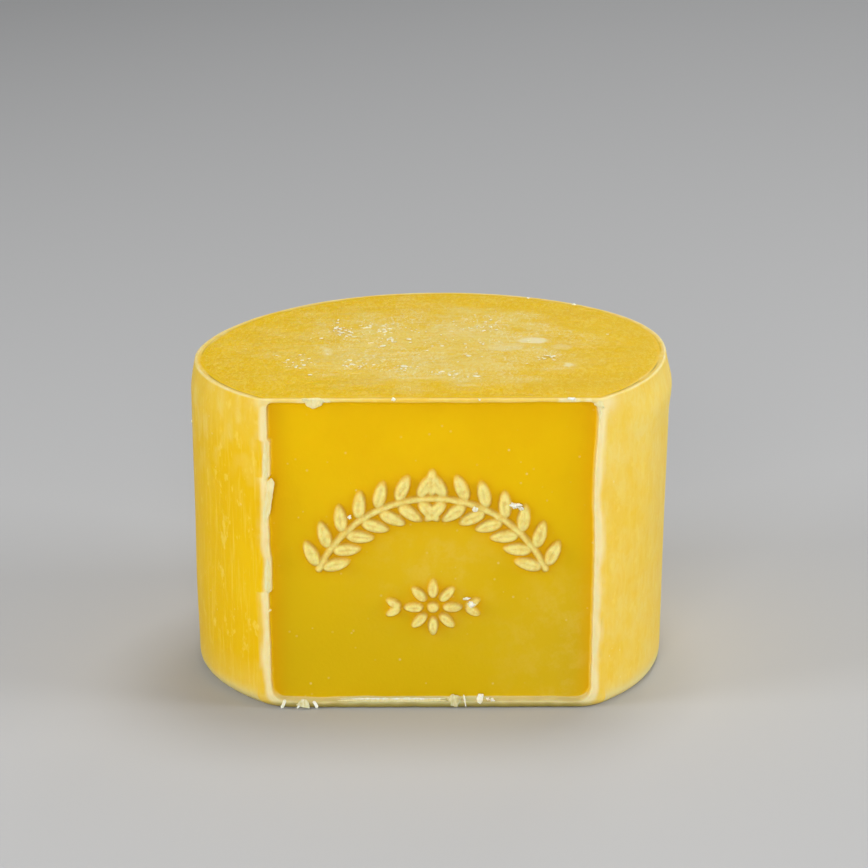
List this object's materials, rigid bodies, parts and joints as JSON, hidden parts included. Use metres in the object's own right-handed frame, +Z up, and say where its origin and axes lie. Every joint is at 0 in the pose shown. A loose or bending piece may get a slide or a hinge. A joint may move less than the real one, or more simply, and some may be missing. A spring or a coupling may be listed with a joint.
{
  "type": "kashar cheese",
  "caption": "Moulded block of yellow kashar cheese: a squat drum with one flat side, whose shallow recessed panel carries a raised leafy arch over a rosette",
  "frame": {"origin": "on the flat underside, below the axis of the round wall", "axes": "+Z up, -Y out of the flat side with the recessed panel, +X to the right of someone facing the panel"},
  "size_m": [0.1267, 0.1149, 0.0824],
  "materials": {
    "cheese": "waxy satin cheese, saturated yellow, paler where its edges are worn"
  },
  "bodies": {
    "root": {"cheese": "cheese"}
  },
  "joints": []
}
